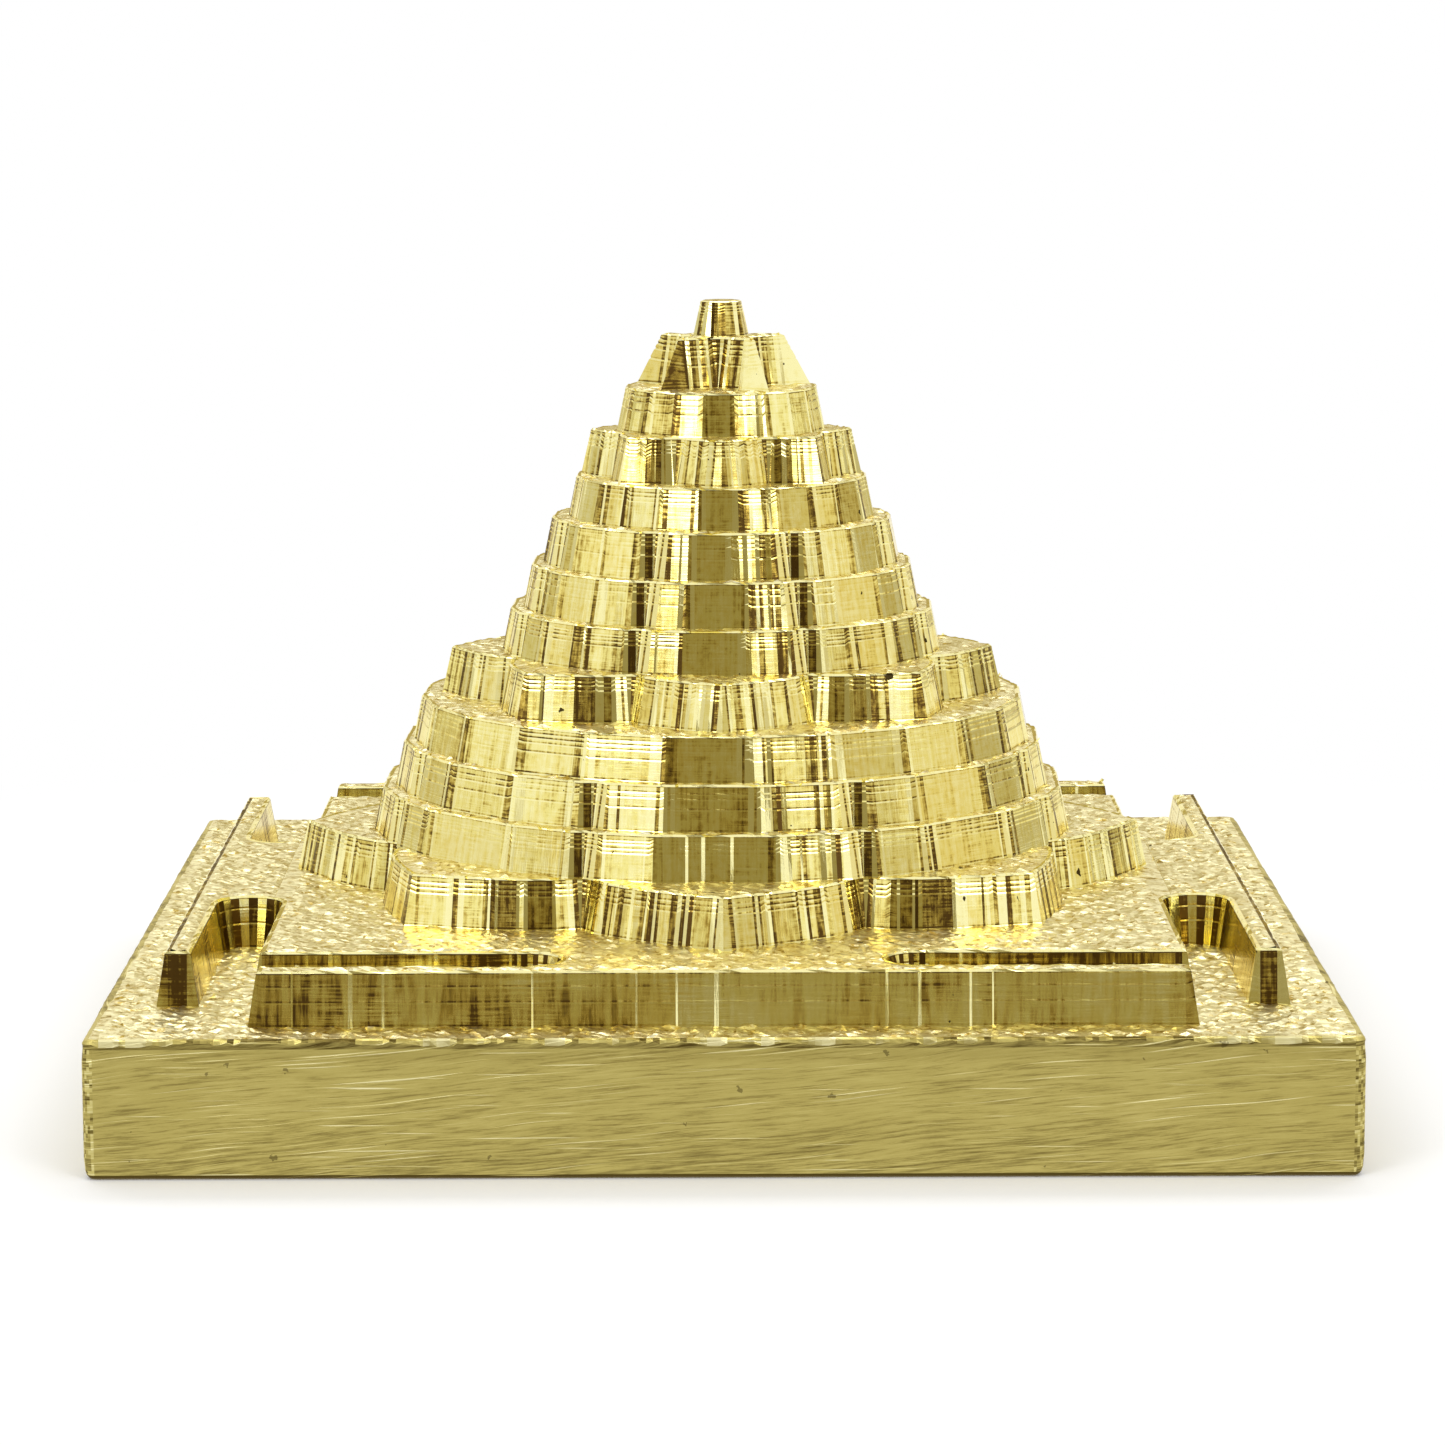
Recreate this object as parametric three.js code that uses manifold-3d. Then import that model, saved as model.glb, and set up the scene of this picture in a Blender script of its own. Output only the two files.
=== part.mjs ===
// A raised (meru) mahamrityunjaya yantra in brass: a square slab, a square enclosure
// with four T-shaped gates, and thirteen levels that climb in steps to a point.
// Millimetres, +Z up. The origin is the middle of the underside, and -Y is the front.

import * as THREE from 'three';
import { mergeVertices } from 'three/addons/utils/BufferGeometryUtils.js';
import Module from 'manifold-3d';

const wasm = await Module();
wasm.setup();

// The slab that everything stands on
const slabSide = 38.1;
const slabThickness = 4.22;
const slabCornerRadius = 0.35;
const slabCornerSteps = 4;

// The enclosure and its gates, measured along their upper edges, from the slab's edge in
const enclosureHeight = 1.68;
const gateMargin = 2.01;
const gateBarWidth = 0.77;
const slotWidth = 2.14;
const gateNeckHalfWidth = 4.9;
const enclosureLeanDegrees = 9;
const slotEndSteps = 10;
const seamRim = 0.06;

const gateReach = slabSide / 2 - gateMargin;
const enclosureHalfSide = gateReach - gateBarWidth - slotWidth;

// The levels above the enclosure, from the lowest to the highest. The figure is drawn to
// fit the enclosure: a level's reach, to the upper edge of a petal's tip or a lobe's face,
// is a share of the enclosure's half side, and its height is a share of one step.
const stepHeight = 1.45;
const levelShares = [
  { name: 'large_lotus', form: 'lotus', height: 1.1, reach: 0.973 },
  { name: 'outer_scalloped_ring', form: 'scallop', height: 1, reach: 0.798 },
  { name: 'inner_scalloped_ring', form: 'scallop', height: 1, reach: 0.745 },
  { name: 'wide_round_terrace', form: 'round', height: 1, reach: 0.701 },
  { name: 'middle_lotus', form: 'lotus', height: 1.035, reach: 0.63 },
  { name: 'lower_scalloped_step', form: 'scallop', height: 0.965, reach: 0.493 },
  { name: 'middle_scalloped_step', form: 'scallop', height: 1, reach: 0.444 },
  { name: 'upper_scalloped_step', form: 'scallop', height: 1.035, reach: 0.394 },
  { name: 'middle_round_terrace', form: 'round', height: 0.93, reach: 0.338 },
  { name: 'small_lotus', form: 'lotus', height: 1.035, reach: 0.302 },
  { name: 'upper_round_terrace', form: 'round', height: 0.965, reach: 0.223 },
  { name: 'five_pointed_star', form: 'star', height: 1.14, reach: 0.149 },
  { name: 'bindu', form: 'point', height: 0.79, reach: 0.0475 },
];
const levelLeanDegrees = 11.5;

// Petals, lobes and facets
const petalCount = 8;
const petalNotchShare = 0.825;
const petalShoulderShare = { along: 0.873, across: 0.272 };
const petalSideSteps = 4;
const scallopNotchDepth = 0.32;
const scallopNotchHalfDegrees = 5.5;
const facetSagitta = 0.05;
const facetGroup = 4;
const starPoints = 5;
const starValleyShare = 0.44;
const starTurnDegrees = 31;
const starTipLeanDegrees = 26;
const binduFacets = 10;

// What a cutter runs past the metal that it cuts
const overrun = 1;

const frontDegrees = -90;
const fullTurnDegrees = 360;

const brassColours = { sawn: 0xa59b55, milled: 0xc9bb6a, upper: 0xd3c575 };

function degrees(angle) {
  return THREE.MathUtils.degToRad(angle);
}

function polarPoint(radius, angleDegrees) {
  const angle = degrees(frontDegrees + angleDegrees);
  return new THREE.Vector2(radius * Math.cos(angle), radius * Math.sin(angle));
}

function brass(color, roughness) {
  return new THREE.MeshStandardMaterial({ color, roughness, metalness: 1 });
}

function namedMesh(name, geometry, material, z) {
  const mesh = new THREE.Mesh(geometry, material);
  mesh.name = name;
  mesh.position.z = z;
  return mesh;
}

// A flat-topped solid whose walls spread by the given ratios from its top to its foot
function leaningSolid(outline, height, footRatioX, footRatioY = footRatioX) {
  const shape = new THREE.Shape(outline);
  const geometry = new THREE.ExtrudeGeometry(shape, { depth: height, bevelEnabled: false });
  const position = geometry.attributes.position;
  for (let i = 0; i < position.count; i += 1) {
    const atTop = position.getZ(i) > 0;
    position.setX(i, position.getX(i) * (atTop ? 1 : footRatioX));
    position.setY(i, position.getY(i) * (atTop ? 1 : footRatioY));
  }
  return geometry;
}

// Rectangle centred on the axis, counter-clockwise
function rectangleOutline(halfX, halfY) {
  return [
    new THREE.Vector2(-halfX, -halfY),
    new THREE.Vector2(halfX, -halfY),
    new THREE.Vector2(halfX, halfY),
    new THREE.Vector2(-halfX, halfY),
  ];
}

function roundedSquare(halfSide, cornerRadius) {
  const inner = halfSide - cornerRadius;
  const shape = new THREE.Shape();
  shape.absarc(inner, -inner, cornerRadius, degrees(-90), 0, false);
  shape.absarc(inner, inner, cornerRadius, 0, degrees(90), false);
  shape.absarc(-inner, inner, cornerRadius, degrees(90), degrees(180), false);
  shape.absarc(-inner, -inner, cornerRadius, degrees(180), degrees(270), false);
  return shape;
}

function slabGeometry() {
  const shape = roundedSquare(slabSide / 2, slabCornerRadius);
  const options = { depth: slabThickness, bevelEnabled: false, curveSegments: slabCornerSteps };
  return new THREE.ExtrudeGeometry(shape, options);
}

// Facets around a round wall: a multiple of four, so that one faces each side of the slab
function facetsAround(radius) {
  const exact = Math.PI / Math.acos(1 - facetSagitta / radius);
  return facetGroup * Math.round(exact / facetGroup);
}

function roundOutline(radius) {
  const count = facetsAround(radius);
  const step = fullTurnDegrees / count;
  return Array.from({ length: count }, (_, i) => polarPoint(radius, (i + 0.5) * step));
}

// One lobe runs between two notches, and its arc is cut in an odd number of facets
function scallopOutline(radius) {
  const pitch = fullTurnDegrees / petalCount;
  const arc = pitch - 2 * scallopNotchHalfDegrees;
  const facetDegrees = fullTurnDegrees / facetsAround(radius);
  const facets = 2 * Math.round((arc / facetDegrees - 1) / 2) + 1;
  const points = [];
  for (let lobe = 0; lobe < petalCount; lobe += 1) {
    const middle = lobe * pitch;
    points.push(polarPoint(radius - scallopNotchDepth, middle - pitch / 2));
    for (let i = 0; i <= facets; i += 1) {
      points.push(polarPoint(radius, middle - arc / 2 + (arc * i) / facets));
    }
  }
  return points;
}

// One petal is a wide pointed arch: two curves that meet at the tip
function lotusOutline(radius) {
  const pitch = fullTurnDegrees / petalCount;
  const points = [];
  for (let petal = 0; petal < petalCount; petal += 1) {
    const middle = petal * pitch;
    const notchBefore = polarPoint(radius * petalNotchShare, middle - pitch / 2);
    const notchAfter = polarPoint(radius * petalNotchShare, middle + pitch / 2);
    const tip = polarPoint(radius, middle);
    const along = polarPoint(radius * petalShoulderShare.along, middle);
    const across = polarPoint(radius * petalShoulderShare.across, middle + fullTurnDegrees / 4);
    const before = new THREE.QuadraticBezierCurve(notchBefore, along.clone().sub(across), tip);
    const after = new THREE.QuadraticBezierCurve(tip, along.clone().add(across), notchAfter);
    points.push(...before.getPoints(petalSideSteps).slice(0, -1));
    points.push(...after.getPoints(petalSideSteps).slice(0, -1));
  }
  return points;
}

function starOutline(radius) {
  const pitch = fullTurnDegrees / starPoints;
  const points = [];
  for (let i = 0; i < starPoints; i += 1) {
    const angle = starTurnDegrees + i * pitch;
    points.push(polarPoint(radius, angle));
    points.push(polarPoint(radius * starValleyShare, angle + pitch / 2));
  }
  return points;
}

function pointOutline(radius) {
  const step = fullTurnDegrees / binduFacets;
  return Array.from({ length: binduFacets }, (_, i) => polarPoint(radius, (i + 0.5) * step));
}

const outlineOf = {
  round: roundOutline,
  scallop: scallopOutline,
  lotus: lotusOutline,
  star: starOutline,
  point: pointOutline,
};

// A star's sharp tips run out faster than a plain wall, so the star has a lean of its own
function levelGeometry(form, reach, height) {
  const leanDegrees = form === 'star' ? starTipLeanDegrees : levelLeanDegrees;
  const footReach = reach + height * Math.tan(degrees(leanDegrees));
  return leaningSolid(outlineOf[form](reach), height, footReach / reach);
}

// A closed solid that can be joined and cut
function solidOf(geometry) {
  const bare = geometry.clone();
  bare.deleteAttribute('normal');
  bare.deleteAttribute('uv');
  const merged = mergeVertices(bare);
  const vertProperties = Float32Array.from(merged.attributes.position.array);
  const triVerts = Uint32Array.from(merged.index.array);
  return new wasm.Manifold(new wasm.Mesh({ numProp: 3, vertProperties, triVerts }));
}

function geometryOf(solid) {
  const mesh = solid.getMesh();
  const geometry = new THREE.BufferGeometry();
  geometry.setAttribute('position', new THREE.BufferAttribute(Float32Array.from(mesh.vertProperties), 3));
  geometry.setIndex(new THREE.BufferAttribute(Uint32Array.from(mesh.triVerts), 1));
  geometry.computeVertexNormals();
  return geometry;
}

const enclosureSpread = enclosureHeight * Math.tan(degrees(enclosureLeanDegrees));

function leaningBlock(halfX, halfY) {
  const footX = (halfX + enclosureSpread) / halfX;
  const footY = (halfY + enclosureSpread) / halfY;
  return solidOf(leaningSolid(rectangleOutline(halfX, halfY), enclosureHeight, footX, footY));
}

const slotHalfWidth = slotWidth / 2;
const slotMiddle = enclosureHalfSide + slotHalfWidth;
const slotEndAt = gateNeckHalfWidth + slotHalfWidth;

// Half width of the slot at a height above the enclosure's foot
function slotHalfWidthAt(height) {
  return slotHalfWidth - (enclosureHeight - height) * Math.tan(degrees(enclosureLeanDegrees));
}

// The straight run of one slot, from the middle of its round end out past the corner
function slotRun() {
  const low = -overrun;
  const high = enclosureHeight + overrun;
  const section = new THREE.Shape([
    new THREE.Vector2(-slotHalfWidthAt(low), low),
    new THREE.Vector2(slotHalfWidthAt(low), low),
    new THREE.Vector2(slotHalfWidthAt(high), high),
    new THREE.Vector2(-slotHalfWidthAt(high), high),
  ]);
  const length = gateReach + overrun - slotEndAt;
  const geometry = new THREE.ExtrudeGeometry(section, { depth: length, bevelEnabled: false });
  geometry.rotateX(degrees(90));
  geometry.rotateZ(degrees(90));
  geometry.translate(slotEndAt, 0, 0);
  return geometry;
}

// The round end of one slot, as the tapered cutter leaves it
function slotEnd() {
  const low = -overrun;
  const high = enclosureHeight + overrun;
  const profile = [
    new THREE.Vector2(0, low),
    new THREE.Vector2(slotHalfWidthAt(low), low),
    new THREE.Vector2(slotHalfWidthAt(high), high),
    new THREE.Vector2(0, high),
  ];
  const geometry = new THREE.LatheGeometry(profile, 2 * slotEndSteps);
  geometry.rotateX(degrees(90));
  geometry.translate(slotEndAt, 0, 0);
  return geometry;
}

// The eight slots are one shape, mirrored and swapped between the axes
function slotCutters() {
  const slot = solidOf(slotRun()).add(solidOf(slotEnd()));
  const right = slot.translate([0, slotMiddle, 0]);
  const backPair = right.add(right.mirror([1, 0, 0]));
  const pairs = backPair.add(backPair.mirror([0, 1, 0]));
  const swapped = pairs.mirror([1, -1, 0]);
  return pairs.add(swapped);
}

// The whole enclosure with its gates, before the gates are parted from it
function wholeEnclosure() {
  const deep = leaningBlock(enclosureHalfSide, gateReach);
  const wide = leaningBlock(gateReach, enclosureHalfSide);
  return deep.add(wide).subtract(slotCutters());
}

// A gate parts from the enclosure just outside the foot of the enclosure's wall
const seamAt = enclosureHalfSide + enclosureSpread + seamRim;

function gateRegion(towards) {
  const far = gateReach + enclosureSpread + overrun;
  const depth = far - seamAt;
  const width = 2 * far;
  const height = enclosureHeight + 2 * overrun;
  const sideways = Math.abs(towards.x) * depth + Math.abs(towards.y) * width;
  const lengthways = Math.abs(towards.y) * depth + Math.abs(towards.x) * width;
  const geometry = new THREE.BoxGeometry(sideways, lengthways, height);
  const middle = seamAt + depth / 2;
  geometry.translate(towards.x * middle, towards.y * middle, enclosureHeight / 2);
  return solidOf(geometry);
}

const gateSides = {
  gate_front: new THREE.Vector2(0, -1),
  gate_right: new THREE.Vector2(1, 0),
  gate_back: new THREE.Vector2(0, 1),
  gate_left: new THREE.Vector2(-1, 0),
};

function enclosureMeshes(z) {
  const whole = wholeEnclosure();
  let body = whole;
  const meshes = [];
  for (const [name, towards] of Object.entries(gateSides)) {
    const region = gateRegion(towards);
    body = body.subtract(region);
    const gate = geometryOf(whole.intersect(region));
    meshes.push(namedMesh(name, gate, brass(brassColours.milled, 0.35), z));
  }
  meshes.push(namedMesh('enclosure', geometryOf(body), brass(brassColours.milled, 0.4), z));
  return meshes;
}

// Meshes keep 32-bit numbers, so heights are added up as the meshes keep them
const slabTop = Math.fround(slabThickness);
const enclosureTop = slabTop + Math.fround(enclosureHeight);

function levelMeshes() {
  let z = enclosureTop;
  return levelShares.map((share) => {
    const height = share.height * stepHeight;
    const geometry = levelGeometry(share.form, share.reach * enclosureHalfSide, height);
    const mesh = namedMesh(share.name, geometry, brass(brassColours.upper, 0.3), z);
    z += Math.fround(height);
    return mesh;
  });
}

const yantra = new THREE.Group();
yantra.add(namedMesh('base_slab', slabGeometry(), brass(brassColours.sawn, 0.45), 0));
yantra.add(...enclosureMeshes(slabTop));
yantra.add(...levelMeshes());

export default yantra;
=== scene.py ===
# %% [markdown]
# # A raised brass yantra
# The real object is one small block of brass, cut on a milling machine into a square slab,
# an enclosure with four gates, and thirteen levels that climb to a point. In Blender it
# could be one sculpted mesh, but each level here is a piece of its own, laid on the solid
# of the same name, so that every level can be looked at and changed alone.

import math
import random
from bisect import bisect
from collections import namedtuple
from itertools import product

import bpy
from mathutils import Matrix, Vector, noise
from mathutils.geometry import delaunay_2d_cdt


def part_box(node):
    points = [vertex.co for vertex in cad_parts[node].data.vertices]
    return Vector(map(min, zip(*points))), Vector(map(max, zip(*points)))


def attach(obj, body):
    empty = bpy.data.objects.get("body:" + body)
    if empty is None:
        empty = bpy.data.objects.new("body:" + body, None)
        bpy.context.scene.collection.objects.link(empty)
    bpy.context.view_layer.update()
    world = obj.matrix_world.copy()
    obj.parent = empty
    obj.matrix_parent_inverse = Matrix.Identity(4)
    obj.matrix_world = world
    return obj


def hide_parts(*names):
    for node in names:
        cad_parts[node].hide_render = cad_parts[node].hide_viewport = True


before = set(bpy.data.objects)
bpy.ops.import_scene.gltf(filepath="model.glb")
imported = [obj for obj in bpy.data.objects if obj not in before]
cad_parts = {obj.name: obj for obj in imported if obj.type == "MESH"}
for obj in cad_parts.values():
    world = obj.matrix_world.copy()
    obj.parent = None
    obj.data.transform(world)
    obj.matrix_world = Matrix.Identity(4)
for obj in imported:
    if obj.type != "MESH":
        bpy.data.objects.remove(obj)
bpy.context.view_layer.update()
MM = 0.001
print("solids to dress:", len(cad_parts))

# %% [markdown]
# ## The camera
# The photograph was taken with a long lens from a hand's breadth in front of the slab,
# looking a little down. A camera could be aimed by eye, but its place here was worked out
# from the slab's corners, so the drawing of every level falls where it should.

# %% Camera
CAMERA_PLACE = Vector((0.015, -163.63, 36.2)) * MM
CAMERA_DOWN = 0.1542
CAMERA_ROLL = -0.0028
OBJECT_TURN = 0.0016
LENS = 124.55

camera = bpy.data.objects.new("camera", bpy.data.cameras.new("camera"))
camera.data.lens = LENS
camera.data.sensor_width = 36
camera.data.clip_start = 1 * MM
camera.data.clip_end = 5
around = Matrix.Rotation(-OBJECT_TURN, 4, "Z")
tilt = Matrix.Rotation(math.pi / 2 - CAMERA_DOWN, 4, "X")
roll = Matrix.Rotation(CAMERA_ROLL, 4, "Z")
camera.matrix_world = around @ Matrix.Translation(CAMERA_PLACE) @ tilt @ roll
bpy.context.scene.collection.objects.link(camera)
bpy.context.scene.camera = camera
bpy.context.scene.view_settings.view_transform = "Standard"
print("camera in mm:", [round(part / MM, 1) for part in camera.matrix_world.translation])


# %% [markdown]
# ## Node helpers
# Every finish below is made of shader nodes. One helper places a node and joins it to
# others, and the short ones after it do sums, mixes, ranges and noises, which keeps each
# recipe as short as the finish it describes.

# %% Node helpers
def place(tree, kind, values=None, **settings):
    node = tree.nodes.new(kind)
    for name, value in settings.items():
        setattr(node, name, value)
    for socket, value in (values or {}).items():
        if isinstance(value, bpy.types.NodeSocket):
            tree.links.new(value, node.inputs[socket])
        else:
            node.inputs[socket].default_value = value
    return node


def combine(tree, operation, *values):
    return place(tree, "ShaderNodeMath", dict(enumerate(values)), operation=operation).outputs[0]


def blend(tree, share, first, second):
    return place(tree, "ShaderNodeMix", {0: share, 2: first, 3: second}).outputs[0]


def blend_colours(tree, share, first, second):
    values = {0: share, 6: first, 7: second}
    return place(tree, "ShaderNodeMix", values, data_type="RGBA").outputs[2]


def between(tree, value, low, high, **settings):
    """Stretches a value so that low turns to nought and high to one."""
    values = {"Value": value, "From Min": low, "From Max": high}
    return place(tree, "ShaderNodeMapRange", values, **settings).outputs[0]


def fine_noise(tree, vector, detail, scale=1.0, roughness=0.6):
    values = {"Vector": vector, "Scale": scale, "Detail": detail, "Roughness": roughness}
    return place(tree, "ShaderNodeTexNoise", values).outputs["Fac"]


def new_material(name):
    material = bpy.data.materials.new(name)
    material.use_nodes = True
    material.node_tree.nodes.clear()
    return material, material.node_tree


# %% [markdown]
# ## The white room
# Brass has no colour of its own away from what it mirrors, so the room is half the finish.
# The world is plain white for the camera and for reflections. A strength of one is white.

# %% World
ROOM_LEVEL = 0.8
WHITE = (1, 1, 1, 1)


def camera_and_mirror(tree):
    """One for rays from the camera, and one for rays from a mirror or through glass."""
    rays = place(tree, "ShaderNodeLightPath").outputs
    mirror = combine(tree, "MAXIMUM", rays["Is Glossy Ray"], rays["Is Transmission Ray"])
    return rays["Is Camera Ray"], mirror


world = bpy.data.worlds.new("white_room")
bpy.context.scene.world = world
world.use_nodes = True
tree = world.node_tree
tree.nodes.clear()
soft = place(tree, "ShaderNodeBackground", {"Color": WHITE, "Strength": ROOM_LEVEL})
white = place(tree, "ShaderNodeBackground", {"Color": WHITE, "Strength": 1})
direct = combine(tree, "MAXIMUM", *camera_and_mirror(tree))
mix = place(tree, "ShaderNodeMixShader", {0: direct, 1: soft.outputs[0], 2: white.outputs[0]})
place(tree, "ShaderNodeOutputWorld", {"Surface": mix.outputs[0]})
print("world nodes:", len(tree.nodes))

# %% [markdown]
# The floor is a white sheet. Near the slab the camera sees it lit, so it keeps the thin
# shadow, and farther off it turns to plain white, as the brass mirrors it everywhere.

# %% Floor
FLOOR_SIDE = 4.8
LIT_TO, PLAIN_FROM = 32 * MM, 60 * MM


def stand(thing, centre, way):
    """Links a thing into the scene at a spot, with its own z axis along a way."""
    turn = way.to_track_quat("Z", "Y").to_matrix().to_4x4()
    thing.matrix_world = Matrix.Translation(centre) @ turn
    bpy.context.scene.collection.objects.link(thing)


def flat_card(name, centre, way, width, height, material):
    """A card of the given size that faces along a way."""
    mesh = bpy.data.meshes.new(name)
    signs = ((-1, -1), (1, -1), (1, 1), (-1, 1))
    corners = [(x * width / 2, y * height / 2, 0) for x, y in signs]
    mesh.from_pydata(corners, [], [(0, 1, 2, 3)])
    mesh.materials.append(material)
    card = bpy.data.objects.new(name, mesh)
    stand(card, centre, way)
    return card


sheet, tree = new_material("white_sheet")
lit = place(tree, "ShaderNodeBsdfDiffuse", {"Color": WHITE})
plain = place(tree, "ShaderNodeEmission", {"Color": WHITE, "Strength": 1})
spot = place(tree, "ShaderNodeTexCoord").outputs["Object"]
distance = place(tree, "ShaderNodeVectorMath", {0: spot}, operation="LENGTH").outputs["Value"]
far = between(tree, distance, LIT_TO, PLAIN_FROM, interpolation_type="SMOOTHSTEP")
camera_ray, mirror_ray = camera_and_mirror(tree)
bare = combine(tree, "MAXIMUM", combine(tree, "MULTIPLY", far, camera_ray), mirror_ray)
mix = place(tree, "ShaderNodeMixShader", {0: bare, 1: lit.outputs[0], 2: plain.outputs[0]})
place(tree, "ShaderNodeOutputMaterial", {"Surface": mix.outputs[0]})
flat_card("floor", Vector(), Vector((0, 0, 1)), FLOOR_SIDE, FLOOR_SIDE, sheet)
print("floor in metres:", FLOOR_SIDE)

# %% [markdown]
# Someone stands behind the camera, and their clothes and the camera itself are what the
# metal facing us mirrors. A photographer would call them dark cards. They show only in
# reflections, and they are why a brass facet that faces the camera turns olive.

# %% Dark cards
CARD_DISTANCE = 0.6
OBJECT_MIDDLE = Vector((0, 0, 12 * MM))


def direction(azimuth, elevation):
    """Azimuth is measured from the front, positive to the right, both in degrees."""
    a, e = math.radians(azimuth), math.radians(elevation)
    return Vector((math.sin(a) * math.cos(e), -math.cos(a) * math.cos(e), math.sin(e)))


def stand_off(distance, azimuth, elevation, wide, tall):
    """Middle, width and height of what spans the given angles as the object sees it."""
    sides = [2 * distance * math.tan(math.radians(angle / 2)) for angle in (wide, tall)]
    return OBJECT_MIDDLE + direction(azimuth, elevation) * distance, *sides


def mirrored_card(name, azimuth, elevation, wide, tall, level, tone):
    """A card that spans the given angles, and glows at a plain level."""
    material, tree = new_material(name)
    glow = place(tree, "ShaderNodeEmission", {"Color": (*tone, 1), "Strength": level})
    place(tree, "ShaderNodeOutputMaterial", {"Surface": glow.outputs[0]})
    centre, width, height = stand_off(CARD_DISTANCE, azimuth, elevation, wide, tall)
    card = flat_card(name, centre, OBJECT_MIDDLE - centre, width, height, material)
    card.visible_camera = False
    card.visible_diffuse = False
    card.visible_shadow = False
    card.visible_transmission = False


WARM_GREY = (1.0, 0.85, 0.44)
PALE_GREY = (1.0, 0.95, 0.8)
SAND_GREY = (1.0, 0.92, 0.7)
# Name, azimuth, elevation, width and height as angles, level, and tone.
CARDS = (
    ("photographer", 0, 20, 40, 66, 0.32, WARM_GREY),
    ("room_right", 56, 14, 14, 40, 0.68, SAND_GREY),
    ("room_left", -57, 14, 12, 40, 0.74, PALE_GREY),
    ("room_far_right", 118, 14, 20, 40, 0.55, SAND_GREY),
    ("room_far_left", -120, 14, 16, 40, 0.66, PALE_GREY),
    ("room_side_right", 90, 16, 12, 36, 0.84, SAND_GREY),
    ("room_side_left", -90, 16, 12, 36, 0.84, PALE_GREY),
    ("ceiling", 180, 76, 50, 18, 0.42, PALE_GREY),
    ("room_back_right", 148, 14, 14, 36, 0.62, PALE_GREY),
    ("room_back_left", -150, 14, 14, 36, 0.66, PALE_GREY),
    ("room_behind", 180, 20, 12, 50, 0.5, WARM_GREY),
)
for card in CARDS:
    mirrored_card(*card)
print("cards:", len(CARDS))

# %% [markdown]
# Two tall lamps stand left and right of the camera and one hangs high behind the slab. They
# are soft and weak, and their mirror images are the white beads along the cutter marks.

# %% Lamps
LAMP_DISTANCE = 0.5


def lamp(name, azimuth, elevation, wide, tall, radiance):
    """A soft lamp that spans the given angles, and whose face is as bright as radiance."""
    light = bpy.data.lights.new(name, "AREA")
    light.shape = "RECTANGLE"
    centre, light.size, light.size_y = stand_off(LAMP_DISTANCE, azimuth, elevation, wide, tall)
    light.energy = radiance * math.pi * light.size * light.size_y
    stand(bpy.data.objects.new(name, light), centre, centre - OBJECT_MIDDLE)
    print(name, round(light.energy, 2), "watts")


lamp("lamp_left", -38, 34, 18, 34, 2.8)
lamp("lamp_right", 36, 34, 16, 34, 2.5)
lamp("lamp_above", 180, 58, 60, 16, 2.4)

# %% [markdown]
# ## Shared effects
# Each effect that more than one finish needs is a node group with named sockets. The
# cutter leaves fine upright and level lines on a wall: two stretched noises, one squeezed
# along the wall and one squeezed in height.


# %% Group helpers
NUMBER, VECTOR, COLOUR = "NodeSocketFloat", "NodeSocketVector", "NodeSocketColor"
STREAK = (0.36, 0.64)


def new_group(name, inputs):
    """A shader node group and its input sockets. An input without a value is a vector."""
    group = bpy.data.node_groups.new(name, "ShaderNodeTree")
    for label, value in inputs.items():
        kind = VECTOR if value is None else COLOUR if isinstance(value, tuple) else NUMBER
        socket = group.interface.new_socket(label, in_out="INPUT", socket_type=kind)
        if value is not None:
            socket.default_value = value
    return group, group.nodes.new("NodeGroupInput").outputs


def close_group(group, results):
    """Puts the results out under their names: numbers, but for the one named Colour."""
    for label in results:
        kind = COLOUR if label == "Colour" else NUMBER
        group.interface.new_socket(label, in_out="OUTPUT", socket_type=kind)
    place(group, "NodeGroupOutput", results)
    print(group.name, len(group.nodes), "nodes")
    return group


def streaks(tree, vector, along, depth, detail, roughness=0.6):
    """A noise that is squeezed by one number along the wall and by another down it."""
    parts = place(tree, "ShaderNodeSeparateXYZ", {0: vector}).outputs
    u = combine(tree, "MULTIPLY", parts[0], along)
    v = combine(tree, "MULTIPLY", parts[1], depth)
    squeezed = place(tree, "ShaderNodeCombineXYZ", {0: u, 1: v}).outputs[0]
    return fine_noise(tree, squeezed, detail, roughness=roughness)


# %% Cutter lines
inputs = {"Run": None, "Upright": 9.0, "Level": 14.0, "Level share": 0.4}
tree, given = new_group("cutter_lines", inputs)
upright = streaks(tree, given["Run"], given["Upright"], 0.5, 3.0)
level = streaks(tree, given["Run"], 0.5, given["Level"], 3.0)
results = {
    "Height": blend(tree, given["Level share"], upright, level),
    "Upright streak": between(tree, upright, *STREAK),
    "Level streak": between(tree, level, *STREAK),
}
cutter_lines = close_group(tree, results)

# %% [markdown]
# The flat floors of the cuts carry crossing arcs from the cutter's end, which sparkle. A
# wave bent by noise gives the arcs, and a finer noise breaks them up.

# %% Cutter arcs
GRIT_SHARE = 0.6
inputs = {"Place": None, "Arc scale": 1.1, "Grit scale": 3.2}
tree, given = new_group("cutter_arcs", inputs)
wave = {"Vector": given["Place"], "Scale": given["Arc scale"], "Distortion": 7.0}
wave |= {"Detail": 2.0, "Detail Scale": 1.4}
arcs = place(tree, "ShaderNodeTexWave", wave, bands_direction="DIAGONAL").outputs["Fac"]
grit = fine_noise(tree, given["Place"], 3.0, given["Grit scale"], 0.7)
results = {"Height": blend(tree, GRIT_SHARE, arcs, grit), "Fleck": between(tree, grit, 0.38, 0.6)}
cutter_arcs = close_group(tree, results)

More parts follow.
